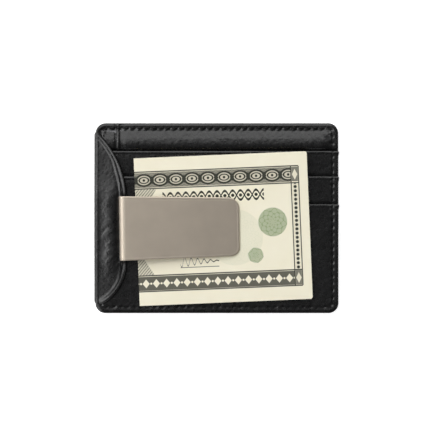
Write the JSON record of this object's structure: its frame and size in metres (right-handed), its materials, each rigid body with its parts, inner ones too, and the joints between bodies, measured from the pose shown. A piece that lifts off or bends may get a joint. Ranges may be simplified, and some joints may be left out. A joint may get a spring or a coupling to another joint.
{
  "type": "minimalist wallet",
  "caption": "Slim front-pocket leather wallet with stepped card slots, a half-moon flap holding a sprung money clip over a folded note, and a window pocket behind.",
  "frame": {"origin": "centre of the overall bounding box in X and Y, on the underside (the outer face of the window pocket), with the wallet lying on its back", "axes": "+X runs across the wallet from the wrapped edge and clip bend to the open right edge, +Y up towards the card slots' mouths, +Z out of the front, towards the clip"},
  "size_m": [0.11, 0.085, 0.0113],
  "materials": {
    "outer_leather": "satin smooth black leather",
    "grained_leather": "satin grained black leather",
    "lining_cloth": "matt woven lining",
    "greyboard": "matt",
    "wadding": "soft matt",
    "clear_sheet": "clear gloss",
    "spring_steel": "satin nickel",
    "note_paper": "matt, printed"
  },
  "bodies": {
    "wallet": {"id_window_frame": "outer_leather", "id_window_sheet": "clear_sheet", "back_panel": "outer_leather", "back_lining": "lining_cloth", "stiffener_board": "greyboard", "padding_sheet": "wadding", "spine_panel": "outer_leather", "front_board": "outer_leather", "slot_1_lining": "lining_cloth", "slot_1_panel": "outer_leather", "slot_2_lining": "lining_cloth", "slot_2_panel": "outer_leather", "slot_3_lining": "lining_cloth", "slot_3_panel": "outer_leather", "flap_reinforcement": "greyboard", "flap": "grained_leather", "clip_base_plate": "spring_steel", "clip_rivets": "spring_steel"},
    "clip": {"clip_leaf": "spring_steel"},
    "note": {"folded_note": "note_paper"}
  },
  "joints": [
    {"name": "clip_flex", "type": "hinge", "parent": "wallet", "child": "clip", "pos_m": [-0.043, -0.00479, 0.00875], "axis": [0.0164, -0.9999, 0], "range_deg": [0, 8], "stiffness_Nm_per_rad": 1, "springref_deg": -2.86},
    {"name": "note_slide", "type": "slide", "parent": "wallet", "child": "note", "axis": [0.9991, 0.0419, 0], "range_m": [0, 0.1]}
  ]
}
